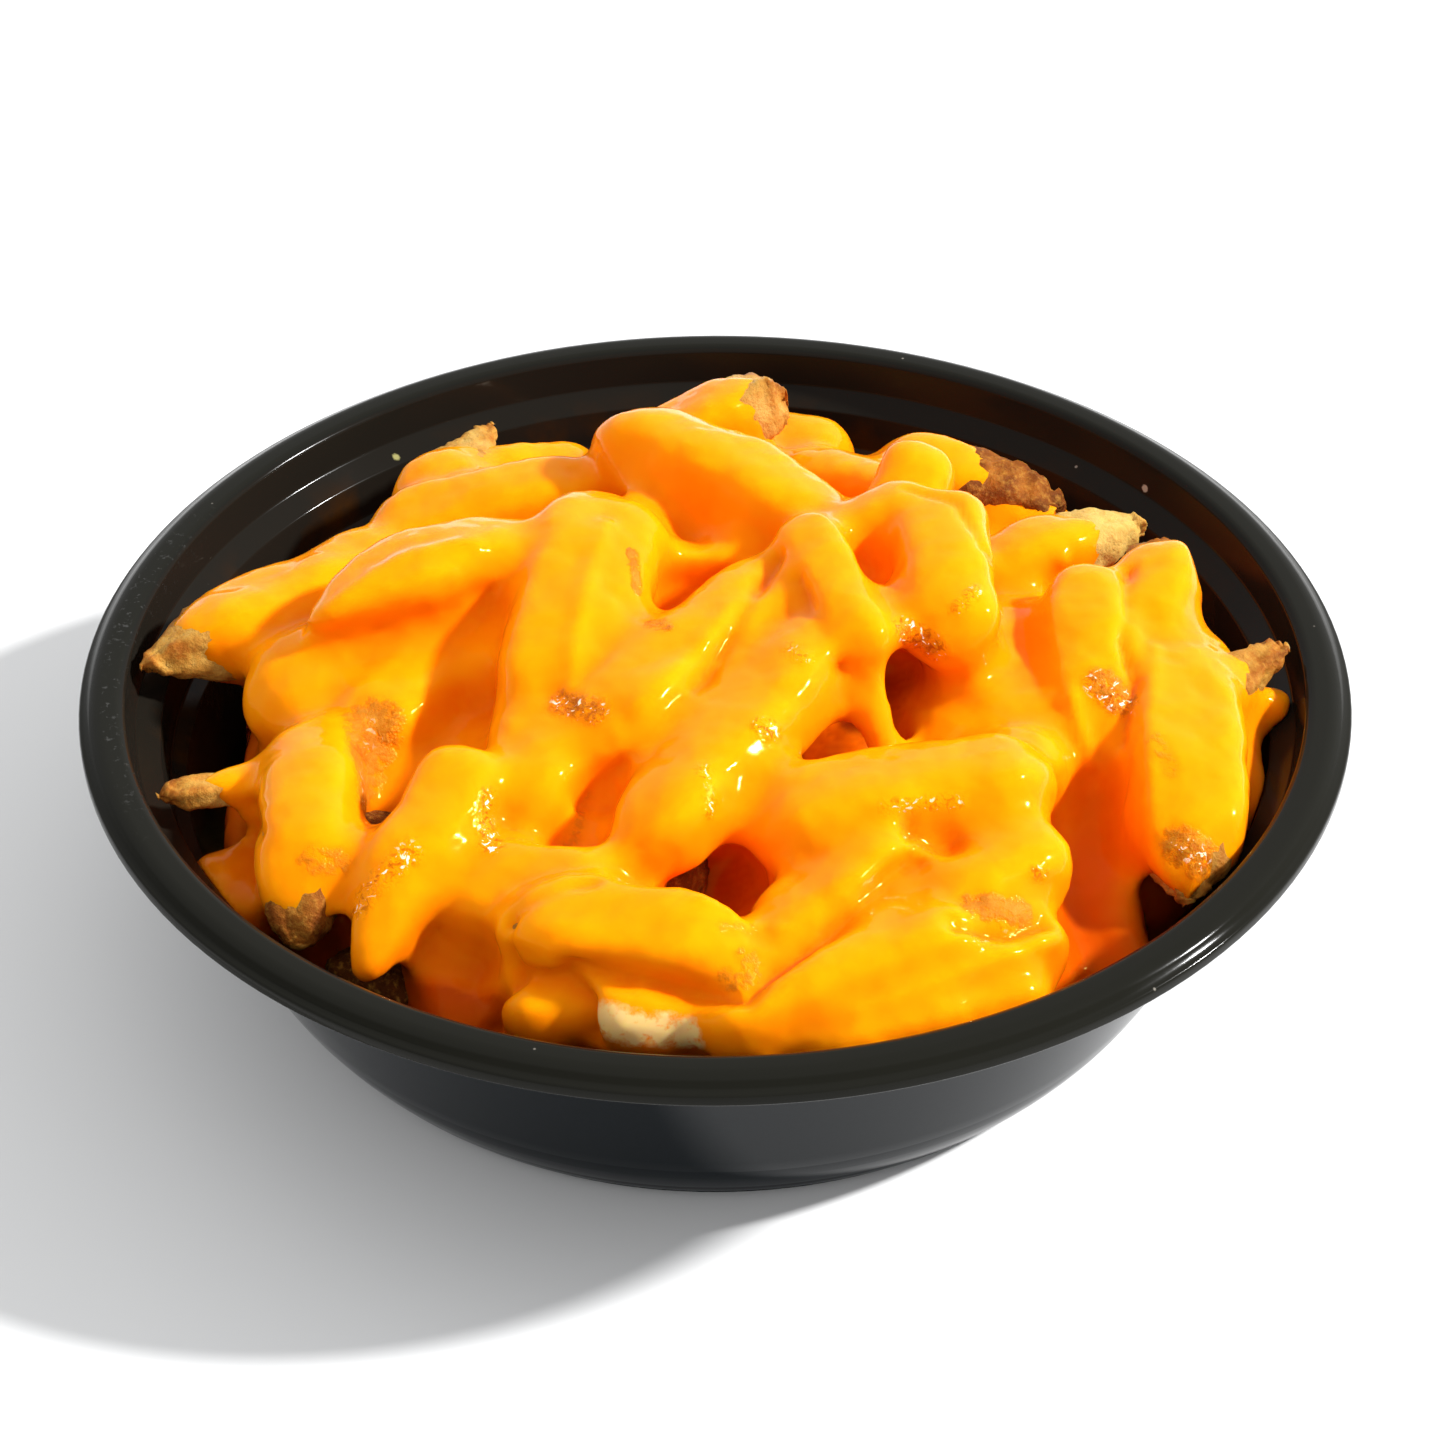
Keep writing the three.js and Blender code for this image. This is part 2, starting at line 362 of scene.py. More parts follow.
def blackPlastic(name, level):
    material, tree, shader = newMaterial(name, {"IOR": plastic["ior"], "Specular IOR Level": level})
    place = objectPlace(tree)
    x, y, z = addParts(tree, place)
    squares = addMath(tree, "ADD", multiply(tree, x, x), multiply(tree, y, y))
    radius = addMath(tree, "SQRT", squares)
    flange = addRange(tree, radius, *plastic["flangeRing"])
    cells = addNode(tree, "TexVoronoi", {"Scale": 260.0})
    wire(tree, place, cells.inputs["Vector"])
    chosen = addRange(tree, addParts(tree, cells.outputs["Color"])[0], 0.86, 0.88)
    dust = multiply(tree, addRange(tree, cells.outputs["Distance"], 0.08, 0.04), chosen)
    nicks = addRange(tree, addNoise(tree, place, 900.0, 4.0, 0.7), 0.6, 0.66)
    rubbed = multiply(tree, addRange(tree, x, *plastic["rubbedSide"]),
                      addRange(tree, radius, *plastic["rubbedRing"]))
    nicks = multiply(tree, multiply(tree, nicks, rubbed), flange)
    film = multiply(tree, addRange(tree, addNoise(tree, place, 70.0, 4.0, 0.6), 0.5, 0.68),
                    addRange(tree, z, *plastic["filmHeight"]))
    film = multiply(tree, film, addAttribute(tree, "inside"))
    # the flange's lighter colour is painted sheen
    color = addMix(tree, flange, plastic["wall"], plastic["flange"])
    # the inside's warmer colour is partly painted reflection of the food; film, dust and nicks are real
    # marks
    inside = addAttribute(tree, "inside")
    for look, mask in (("inside", inside), ("film", film), ("dust", dust), ("nicks", nicks)):
        color = addMix(tree, mask, color, plastic[look])
    for mark in bowlMarks:
        color = addMix(tree, addSpot(tree, place, mark), color, mark["color"])
    wire(tree, color, shader.inputs["Base Color"])
    gloss = addRange(tree, addNoise(tree, place, 60.0, 4.0), 0.35, 0.7, *plastic["roughness"])
    dulled = multiply(tree, flange, plastic["flangeDulling"])
    wire(tree, addMath(tree, "ADD", gloss, dulled), shader.inputs["Roughness"])
    height = addMath(tree, "SUBTRACT", multiply(tree, addNoise(tree, place, 900.0, 3.0), 0.12),
                     multiply(tree, nicks, 2.0))
    wire(tree, addBump(tree, height, 0.3, 0.0001), shader.inputs["Normal"])
    # painted shade: the reflection is dimmed in the crease between flange and lip
    creaseShade = multiply(tree, addRange(tree, radius, *plastic["creaseInner"]),
                      addRange(tree, radius, *plastic["creaseOuter"]))
    creaseShade = multiply(tree, creaseShade, addRange(tree, z, *plastic["creaseHeight"]))
    wire(tree, addRange(tree, creaseShade, 0.0, 1.0, 1.0, 0.2), shader.inputs["Specular Tint"])
    return material


def dullOutside(piece):
    # the outer wall mirrors less than the rim and the inside, and the heel and foot less again
    for stretch in outsideStretches:
        piece.data.materials.append(blackPlastic(stretch["name"], stretch["level"]))
    inside = piece.data.attributes["inside"].data
    for face in piece.data.polygons:
        top = max(piece.data.vertices[i].co.z for i in face.vertices) / mm
        if not any(inside[i].value for i in face.vertices):
            face.material_index = sum(top < stretch["below"] for stretch in outsideStretches)


# Fries: each is a line from one end to the other, and most lie close to a row in the part's source

coat, deepCoat = 1.6, 2.8  # depth of the sauce on a fry with a bare end and on one that it buries
# thickness is a share of the width (a row's own thick is in mm), bow mm of rise in the middle, roll
# degrees; blunt says how wide the two ends stay, reach over what share of the length they taper
defaults = {"thickness": 0.86, "bow": 1.0, "blunt": (0.62, 0.62), "reach": 0.22, "roll": 16.0}
fryForm = {
    "endRounding": 0.42,  # share of the width over which an end rounds off
    "endDome": 0.16,  # how far an end stands out, as a share of the width
    "tipLength": 5.0,  # mm of an end that is rougher and browner
    "thinLength": 8.0,  # mm over which the coat thins towards a bare end
    "raggedFrom": 0.6,  # share of the length after which the coat's edge is ragged
    "lumpScale": 0.11,  # waves of the noise to a mm, here and below
    "crispScale": 0.45,
    "fineCrispScale": 1.1,
    "raggedScale": 0.3,
}
coatedFries = [
    {"from": (-17, 45, 54), "to": (19, 19, 52), "wide": 16, "bow": 2.5},  # ridge at the back
    {"from": (-60, -3.5, 54), "to": (-28, 15.5, 58), "wide": 18, "thick": 8.5, "blunt": (0.1, 0.6),
     "reach": 0.6},  # leaf
    {"from": (-52, 33, 43), "to": (-17, 41, 47), "wide": 14},
    {"from": (-15, 26, 54), "to": (-23, -22, 50), "wide": 19, "thick": 13, "bow": 2.5,
     "roll": -12},  # broad, upright
    {"from": (-24, -8, 48), "to": (-26, -40, 46), "wide": 14},
    {"from": (-13, 29, 55), "to": (-8, 16, 52), "wide": 6, "bow": 0},
    {"from": (-10, 16, 52), "to": (10, 18, 52), "wide": 6, "bow": -0.5},
    {"from": (14, 10, 53), "to": (-19, -31, 50), "wide": 16},  # two long ones, side by side
    {"from": (18, -5, 53), "to": (-11, -50, 48), "wide": 15},
    {"from": (12, 14, 59), "to": (22, -17, 57), "wide": 10, "thick": 9},
    {"from": (22, -15, 55), "to": (24.5, -26, 41), "wide": 4, "thick": 3.6, "bow": 0,
     "blunt": (1, 1)},  # string
    {"from": (15, 14, 55), "to": (33, 20, 58), "wide": 10, "thick": 9},
    {"from": (32, 22, 56), "to": (34, -13, 54), "wide": 14.5, "thick": 12, "bow": 3},  # arched finger
    {"from": (26, 24, 50), "to": (33, 39, 56), "wide": 12, "bow": 0},
    {"from": (45, 14, 43), "to": (43.5, -23, 43), "wide": 18, "thick": 12, "roll": -6},
    {"from": (54, 12, 52), "to": (54, -26, 41), "wide": 14, "bow": 2, "blunt": (0.62, 0.4),
     "reach": 0.4},  # on the right
    {"from": (74, 3, 37), "to": (73, -27, 34), "wide": 11},
    {"from": (5, -44, 47), "to": (46.5, -35, 49), "wide": 17, "bow": 1.5},
    {"from": (41, -20, 42), "to": (43, -32, 44), "wide": 15},
    {"from": (29, -42, 47), "to": (7, -66, 42), "wide": 16},
    {"from": (46, -44.5, 46), "to": (29, -59, 45), "wide": 15},
    {"from": (-2, -76, 40), "to": (37, -61, 45), "wide": 16},  # along the front of the rim
    {"from": (26, -67, 42), "to": (46.5, -58.5, 40.5), "wide": 14},
    {"from": (10, -78, 39.5), "to": (43.5, -64.5, 39), "wide": 14},
    {"from": (52, -26, 32), "to": (54, -56, 25), "wide": 14},
    {"from": (-29, -61, 46), "to": (6, -67, 46), "wide": 14, "thick": 12, "blunt": (0.6, 0.4),
     "reach": 0.35},
    {"from": (-23, -54, 38), "to": (-23, -73, 35), "wide": 12},
    {"from": (-40, -50, 33), "to": (-31, -68, 28), "wide": 12},
    {"from": (-33.5, -31, 51.5), "to": (-47.5, -64, 39.5), "wide": 13.5, "thick": 11.5,
     "blunt": (0.8, 0.3), "reach": 0.7},
    {"from": (-37, -49, 42), "to": (-12, -55, 44), "wide": 14},
    {"from": (-67, -10, 41.5), "to": (-35, 8.5, 46), "wide": 20, "thick": 12},
    {"from": (-36, 8, 45), "to": (-51, -20, 42.5), "wide": 13, "thick": 11},
    {"from": (-70, -31, 32), "to": (-64, -47, 31), "wide": 12},
    {"from": (-16, 40, 44), "to": (14, 24, 45), "wide": 15, "bow": 0},  # low ones that close the gaps
    {"from": (20, 20, 50), "to": (25, -4, 46), "wide": 14, "bow": 0},
    {"from": (33, -2, 42), "to": (37, -25, 42), "wide": 14, "bow": 0},
    {"from": (-30, 16, 48.5), "to": (-36, -8, 44.5), "wide": 14, "thick": 12, "bow": 0},
    {"from": (72, -6, 36.5), "to": (84, -3.5, 41), "wide": 7, "bow": 0},  # strand to the wall
    {"from": (-9, -55, 41), "to": (-9, -76, 37.5), "wide": 17, "thick": 14,
     "blunt": (0.8, 0.85)},  # cut end in the coat
]
# bare is the share of the length that stands clear of the sauce, toast how brown that end is, grain
# mm of roughness of its crust, ragged mm of unevenness of the sauce's edge on it
pokingFries = [
    {"from": (-19, 48, 40), "to": (10.5, 62, 51.5), "wide": 15, "bare": 0.12, "bow": 1.5, "toast": -0.3,
     "blunt": (0.6, 0.75)},  # top of the back
    {"from": (-46, 34, 38), "to": (-35.5, 65, 44.5), "wide": 17, "bare": 0.33, "blunt": (0.6, 0.06),
     "reach": 0.5, "sharp": True, "toast": -0.3},
    {"from": (-42, 34, 42), "to": (-83.5, -1, 45), "wide": 16, "bare": 0.13, "ragged": 3, "bow": -1,
     "blunt": (0.6, 0.1), "reach": 0.22, "sharp": True, "toast": -0.1},
    {"from": (24, 53, 42), "to": (54, 43.5, 41.5), "wide": 15, "bare": 0.36, "blunt": (0.6, 0.4),
     "reach": 0.6, "bow": 2, "toast": 0.42, "grain": 0.8},
    {"from": (34, 16, 44), "to": (65.5, 32, 47), "wide": 13, "bare": 0.25, "bow": 1.5, "blunt": (0.6, 0.15),
     "reach": 0.4, "toast": -0.75, "grain": 0.6},
    {"from": (58, -13, 39.5), "to": (67, 21, 49.5), "wide": 14, "bare": 0.06, "bow": 2.5},
    {"from": (67, 11, 39), "to": (65, -47, 38), "wide": 17, "thick": 14, "bare": 0.055, "bow": 6.5,
     "blunt": (0.7, 0.35), "toast": -0.2},
    {"from": (56, -22, 39.5), "to": (83, 1.5, 46.5), "wide": 11, "bare": 0.24, "blunt": (0.7, 0.25),
     "reach": 0.4, "toast": 0.0, "grain": 0.7},
    {"from": (-56, -14, 40), "to": (-56, -56, 39), "wide": 14, "bare": 0.045, "ragged": 1.5, "bow": 6.5,
     "blunt": (0.7, 0.55), "toast": 0.1, "grain": 0.3},
    {"from": (-53, -23, 40), "to": (-78, -30, 44), "wide": 8, "bare": 0.26, "blunt": (0.7, 0.4),
     "toast": -0.15, "grain": 0.35},
]
# fries seen only down the gaps in the sauce
deepFries = [
    {"from": (-17, -38, 39), "to": (-2, -43, 37.5), "wide": 10, "toast": 0.25},
    {"from": (-52, -24, 35), "to": (-40, -44, 34), "wide": 12, "toast": 0.8},
    {"from": (-52, -50, 29), "to": (-40, -58, 29), "wide": 11, "toast": 0.8},
]
hidden = {
    "count": 6,
    "startAngle": 40,
    "sweep": 106,
    "radii": (62, 50),
    "heights": (39, 42),
    "shift": 4,  # whole range about the mean: mm in and out, radians of heading, mm of rise
    "turn": 1.3,
    "tilt": 6,
    "half": (13, 6),  # half the length and the width: the least, and how much is added at most
    "wide": (12, 2),
    "seed": 7,
}


def seeded(state):
    # the same row of draws between 0 and 1 on every run
    while True:
        state = (state * 1664525 + 1013904223) % 2 ** 32
        yield state / 2 ** 32


def hiddenFries():
    # fries that the photograph's view doesn't reach, laid round the back of the heap by a rule
    draw = seeded(hidden["seed"])
    rows = []
    for i in range(hidden["count"]):
        angle = math.radians(hidden["startAngle"] + hidden["sweep"] * (i + 0.5) / hidden["count"])
        radius = hidden["radii"][i % 2] + hidden["shift"] * (next(draw) - 0.5)
        heading = angle + math.pi / 2 + (next(draw) - 0.5) * hidden["turn"]
        half = hidden["half"][0] + hidden["half"][1] * next(draw)
        tilt = (next(draw) - 0.5) * hidden["tilt"]
        middle = Vector((radius * math.cos(angle), radius * math.sin(angle), hidden["heights"][i % 2]))
        along = Vector((half * math.cos(heading), half * math.sin(heading), tilt))
        wide = hidden["wide"][0] + hidden["wide"][1] * next(draw)
        rows.append({"from": middle - along, "to": middle + along, "wide": wide})
    return rows


def blankFry(around, rings):
    # a plain rod of unit length along Z, its ends inset twice, to be laid along a fry's line
    bm = bmesh.new()
    bmesh.ops.create_cone(bm, cap_ends=True, segments=around, radius1=0.5, radius2=0.5, depth=1.0)
    rails = [edge for edge in bm.edges if abs(edge.verts[0].co.z - edge.verts[1].co.z) > 0.5]
    bmesh.ops.subdivide_edges(bm, edges=rails, cuts=rings - 1)
    for thickness in (0.15, 0.15):
        ends = [face for face in bm.faces if len(face.verts) == around]
        bmesh.ops.inset_individual(bm, faces=ends, thickness=thickness)
    ends = [face for face in bm.faces if len(face.verts) == around]
    bmesh.ops.poke(bm, faces=ends)
    mesh = bpy.data.meshes.new("blank")
    bm.to_mesh(mesh)
    bm.free()
    return mesh


def layFry(bm, blank, row, power, seed, span=(0.0, 1.0), lump=0.5, thin=0.0, grain=0.0, ragged=0.0):
    # bends the blank along the row's line: soft square section, tapered ends, lumps and a crisp grain
    start, end = Vector(row["from"]), Vector(row["to"])
    wide = row["wide"]
    thick = row.get("thick", wide * defaults["thickness"])
    blunt = row.get("blunt", defaults["blunt"])
    reach = row.get("reach", defaults["reach"])
    roll = math.radians(row.get("roll", defaults["roll"] * math.sin(5.1 * seed)))
    control = (start + end) / 2 + up * 2 * row.get("bow", defaults["bow"])
    length = (end - start).length * (span[1] - span[0])
    offset = Vector((7.3, 3.1, 5.7)) * seed
    first = len(bm.verts)
    bm.from_mesh(blank)
    toast = bm.verts.layers.float.get("toast") or bm.verts.layers.float.new("toast")
    bm.verts.ensure_lookup_table()
    for vert in bm.verts[first:]:
        x, y, z = vert.co
        inward = min(1.0, math.hypot(x, y) * 2)
        angle = math.atan2(y, x)
        cosine, sine = math.cos(angle), math.sin(angle)
        along = 0.5 - 0.5 * math.cos(math.pi * (z + 0.5))
        t = span[0] + (span[1] - span[0]) * along
        place = start * (1 - t) ** 2 + control * 2 * t * (1 - t) + end * t ** 2
        tangent = ((control - start) * (1 - t) + (end - control) * t).normalized()
        flat = up.cross(tangent).normalized()
        side = flat * math.cos(roll) + tangent.cross(flat) * math.sin(roll)
        top = tangent.cross(side)
        near, far = min(1.0, along / reach), min(1.0, (1 - along) / reach)
        if not row.get("sharp"):
            near, far = math.sin(near * math.pi / 2), math.sin(far * math.pi / 2)
        taper = min(blunt[0] + (1 - blunt[0]) * near, blunt[1] + (1 - blunt[1]) * far)
        toEnd = min(along, 1 - along) * length  # mm from the nearer end
        rounded = math.sqrt(max(0.0, 1 - (1 - min(1.0, toEnd / (fryForm["endRounding"] * wide))) ** 2))
        taper *= 0.5 + 0.5 * rounded
        section = inward / (abs(cosine) ** power + abs(sine) ** power) ** (1 / power)
        lost = thin * max(0.0, 1 - (1 - along) * length / fryForm["thinLength"])
        spread = side * cosine * (wide * taper / 2 - lost) + top * sine * (thick * taper / 2 - lost)
        point = place + spread * section
        if abs(z) > 0.49:
            point += tangent * math.copysign((1 - inward ** 2) * fryForm["endDome"] * wide * taper, z)
        out = (spread * section).normalized() if inward > 0.05 else tangent * math.copysign(1, z)
        tip = max(0.0, 1 - toEnd / fryForm["tipLength"])
        point += out * lump * noise.noise((point + offset) * fryForm["lumpScale"])
        if grain:
            crisp = noise.noise((point + offset) * fryForm["crispScale"])
            crisp = crisp + 0.6 * noise.noise((point + offset) * fryForm["fineCrispScale"])
            point += out * grain * (1 + 2.5 * tip) * crisp
        frayed = (along - fryForm["raggedFrom"]) / (1 - fryForm["raggedFrom"])
        if ragged and frayed > 0:
            slip = noise.noise((offset + out * 8) * fryForm["raggedScale"]) + 0.45 * out.z
            point += tangent * ragged * frayed ** 2 * slip
        corner = max(0.0, section / max(inward, 0.01) - 1.0) / 0.3 if inward > 0.9 else 0.0
        vert[toast] = row.get("toast", 0.0) + 0.3 * corner + 0.35 * tip * inward
        vert.co = point


core = {
    "side": 73.0,
    "top": 43.0,
    "sides": 72,
    "hollowsFrom": 14,  # mm above the table where the hollows start, and over which they deepen
    "hollowsOver": 14,
    "dipsFrom": 30,
    "lump": 0.8,
    "lumpScale": 0.08,
    "wallGap": 1.6,
    "leastThick": 8.5,  # a form no thicker than this is sauce alone
}
# places where the heap sinks between the fries: where, how wide and how deep, in mm;
# where the depth is negative it is raised
dips = [
    {"at": (16, -26), "wide": 8, "deep": 14},
    {"at": (28, -17), "wide": 4.6, "deep": 13},
    {"at": (0, -46), "wide": 7, "deep": 8},
    {"at": (-46, -36), "wide": 6, "deep": 12},
    {"at": (-44, -61), "wide": 7, "deep": 8},
    {"at": (64, -51), "wide": 6, "deep": 9},
    {"at": (-38, -8), "wide": 8, "deep": 1},
    {"at": (-35, 33), "wide": 7, "deep": 4},
    {"at": (-6, 29), "wide": 8, "deep": -4},
    {"at": (-12, 14), "wide": 5, "deep": 1},
    {"at": (25, 6), "wide": 7, "deep": -3},
    {"at": (-18, -39), "wide": 7, "deep": -4},
    {"at": (-34, -66), "wide": 8, "deep": 6},
    {"at": (56, -50), "wide": 8, "deep": 4},
]
# stretches where it stands back from the bowl's wall, by angle from +X
hollows = [
    {"angle": 181, "spread": 15, "deep": 7},
    {"angle": 222, "spread": 12, "deep": 5},
    {"angle": 243, "spread": 10, "deep": 11},
    {"angle": -38, "spread": 8, "deep": 8},
    {"angle": 24, "spread": 16, "deep": 6},
    {"angle": 78, "spread": 16, "deep": 5},
    {"angle": 138, "spread": 22, "deep": 6},
]


def heapOutline(lift=0.0, wide=None):
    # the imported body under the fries: it follows the bowl and ends in a low dome;
    # a wide one spreads out below, past the bowl
    side, top = core["side"], core["top"]
    foot = [(0, -9, 0), (wide, -9, 0), (wide, 18, 0), (side, 18.5, 0)] if wide else [
        (0, 2.1, 0), (60.2, 2.1, 1.5), (65.7, 5.0, 2.0), (69.9, 13.25, 2.0)]
    return foot + [
        (side + lift, 27.0, 1.0),
        (side - 1 + lift, 30.0 + lift, 1.0),
        (66, 34.0 + lift, 2.0),
        (52, 38.5 + lift, 2.0),
        (32, top - 2 + lift, 2.0),
        (0, top + lift, 0),
    ]


def heapBody(lift=0.0, wide=None):
    # the outline turned, sunk at the dips and drawn in at the hollows
    bm = bmesh.new()
    spinProfile(bm, heapOutline(lift, wide), core["sides"])
    spokes = [edge for edge in bm.edges if edge.calc_length() > 4 and
              abs(edge.verts[0].co.xy.length - edge.verts[1].co.xy.length) > 3]
    bmesh.ops.subdivide_edges(bm, edges=spokes, cuts=6)
    for vert in bm.verts:
        angle = math.degrees(math.atan2(vert.co.y, vert.co.x))
        rise = min(1.0, max(0.0, (vert.co.z - core["hollowsFrom"]) / core["hollowsOver"]))
        for hollow in hollows:
            gap = ((angle - hollow["angle"] + 180) % 360 - 180) / hollow["spread"]
            vert.co.xy *= 1 - rise * hollow["deep"] / core["side"] * math.exp(-gap * gap)
        if vert.co.z > core["dipsFrom"]:
            for dip in dips:
                gap = math.dist(vert.co.xy, dip["at"]) / dip["wide"]
                vert.co.z -= dip["deep"] * math.exp(-gap * gap)
            vert.co.z += core["lump"] * noise.noise(vert.co.xy.to_3d() * core["lumpScale"])
    return bm


def bareRow(row, cover=coat):
    # the fry inside its coat of sauce
    thick = row.get("thick", row["wide"] * defaults["thickness"])
    return {**row, "wide": row["wide"] - 2 * cover, "thick": thick - 2 * cover}


# points round a fry and along it; power says how square its section is, lump and grain are in mm
blanks = {"crisp": (32, 56), "buried": (16, 14), "coated": (24, 18)}
crispForm = {"power": 5.0, "lump": 0.8}
buriedForm = {"span": (0.04, 0.96), "power": 4.0, "grain": 0.2}


def makeCrispFries():
    bm = heapBody()
    fine, plain = blankFry(*blanks["crisp"]), blankFry(*blanks["buried"])
    for i, row in enumerate(pokingFries):
        layFry(bm, fine, bareRow(row), **crispForm, grain=row.get("grain", 0.5), seed=i + 60)
    for i, row in enumerate(deepFries):
        layFry(bm, fine, row, **crispForm, grain=0.3, seed=i + 80)
    for i, row in enumerate(coatedFries + hiddenFries()):
        if row.get("thick", row["wide"]) > core["leastThick"]:
            layFry(bm, plain, bareRow(row, deepCoat), **buriedForm, seed=i + 1)
    for vert in bm.verts:
        inside = insideRadius(vert.co.z) - core["wallGap"]
        vert.co.xy *= min(1.0, inside / max(vert.co.xy.length, 1.0))
    bmesh.ops.recalc_face_normals(bm, faces=bm.faces)
    return linkMesh(bm, "crisp_fries")


# Sauce: a thick coat over the same fries, run together where they meet

sauce = {
    "blanket": 3.8,  # depth between the fries
    "pool": (1.0, 1.0, -1.0, -1.0),  # swelling and shrinking that joins close forms
    "thin": 1.2,  # lost towards a bare end
    "ragged": 5.0,  # mm of unevenness of its edge there
    "endBlunt": 0.85,
    "voxel": 0.85,
    "smoothing": 7,
    "lump": 0.3,
    "lumpScales": (160, 420),  # waves to a metre
    "wallGap": 0.2,
    "cutterRadius": 96.0,
    "settle": 5,  # rounds in which the creases fill
    "openFrom": 6,  # a dip deeper than this stays open
    "ridgeLoss": 0.15,  # how fast ridges sink while creases fill
    "meanReach": 22,  # mm taken into a place's mean height, and the spread of their weights
    "meanSpread": 9.0,
    "emptyHeight": 30.0,  # mm, where there is no sauce
    "foldRounds": 40,  # rounds of smoothing that folds and slopes are read against
    "slopeRounds": 6,
    "foldDepth": 0.9,  # mm of a full fold
    "sunkDepth": 10,  # mm of a full hollow
    "patchSunk": 1.4,  # how sunk a patch in deep shade is
}
coatedForm = {"power": 3.4, "lump": 1.1}


def makeSauceBody():
    bm = heapBody(sauce["blanket"])
    blank = blankFry(*blanks["coated"])
    for i, row in enumerate(coatedFries + hiddenFries()):
        layFry(bm, blank, row, **coatedForm, seed=i + 1)
    for i, row in enumerate(pokingFries):
        sleeve = {**row, "blunt": (row.get("blunt", defaults["blunt"])[0], sauce["endBlunt"])}
        layFry(bm, blank, sleeve, **coatedForm, span=(0.0, 1 - row["bare"]), thin=sauce["thin"],
               ragged=row.get("ragged", sauce["ragged"]), seed=i + 60)
    bmesh.ops.recalc_face_normals(bm, faces=bm.faces)
    piece = linkMesh(bm, "cheese_coat")
    for change in (0.0, *sauce["pool"]):
        if change:
            swell = piece.modifiers.new("swell", "DISPLACE")
            swell.mid_level = 0
            swell.strength = change * mm
        remesh = piece.modifiers.new("remesh", "REMESH")
        remesh.mode = "VOXEL"
        remesh.voxel_size = sauce["voxel"] * mm
    smooth = piece.modifiers.new("smooth", "SMOOTH")
    smooth.factor = 0.5
    smooth.iterations = sauce["smoothing"]
    applyModifiers(piece)
    return piece


def readPoints(mesh, kind="co"):
    values = np.empty(len(mesh.vertices) * 3)
    mesh.vertices.foreach_get(kind, values)
    return values.reshape(-1, 3)


def readNormals(mesh):
    return readPoints(mesh, "normal")


def writePoints(mesh, points):
    mesh.vertices.foreach_set("co", points.ravel())
    mesh.update()


def relaxed(values, edges, times):
    # each value drifts to the mean of its neighbours
    links = np.bincount(edges.ravel(), minlength=len(values))[:, None]
    for _ in range(times):
        total = np.zeros_like(values)
        for axis in range(values.shape[1]):
            total[:, axis] += np.bincount(edges[:, 0], values[edges[:, 1], axis], len(values))
            total[:, axis] += np.bincount(edges[:, 1], values[edges[:, 0], axis], len(values))
        values = values * 0.5 + 0.5 * total / np.maximum(links, 1)
    return values


def settle(mesh, edges):
    # the sauce fills its creases until the forms run together, but stays out of the deep gaps
    points = readPoints(mesh)
    share = np.ones(len(points))
    for dip in dips:
        if dip["deep"] > sauce["openFrom"]:
            gap = np.hypot(*(points[:, :2] / mm - dip["at"]).T) / dip["wide"]
            share *= 1 - 0.9 * np.exp(-gap ** 4)
    for _ in range(sauce["settle"]):
        normals = readNormals(mesh)
        rise = np.einsum("ij,ij->i", relaxed(points, edges, 1) - points, normals)
        points += normals * (np.maximum(rise, sauce["ridgeLoss"] * rise) * share)[:, None]
        writePoints(mesh, points)


def sunken(piece, points):
    # how far each point lies below the mean height of the heap round it, in mm
    tree = BVHTree.FromObject(piece, bpy.context.evaluated_depsgraph_get())
    reach = int(bowl["lipRadius"])
    ticks = np.arange(-reach, reach + 1)
    height = np.full((len(ticks), len(ticks)), sauce["emptyHeight"])
    for i, x in enumerate(ticks):
        for j, y in enumerate(ticks):
            hit = tree.ray_cast(Vector((x, y, 100)) * mm, -up)[0]
            if hit is not None:
                height[i, j] = hit.z / mm
    steps = np.arange(-sauce["meanReach"], sauce["meanReach"] + 1)
    weights = np.exp(-(steps / sauce["meanSpread"]) ** 2)
    weights = weights / weights.sum()
    for axis in (0, 1):
        height = np.apply_along_axis(lambda line: np.convolve(line, weights, "same"), axis, height)
    cells = np.clip(np.rint(points[:, :2] / mm).astype(int) + reach, 0, 2 * reach)
    return height[cells[:, 0], cells[:, 1]] - points[:, 2] / mm


def addValues(mesh, name, values):
    layer = mesh.attributes.new(name, "FLOAT", "POINT")
    layer.data.foreach_set("value", np.ascontiguousarray(values, dtype=np.float32))


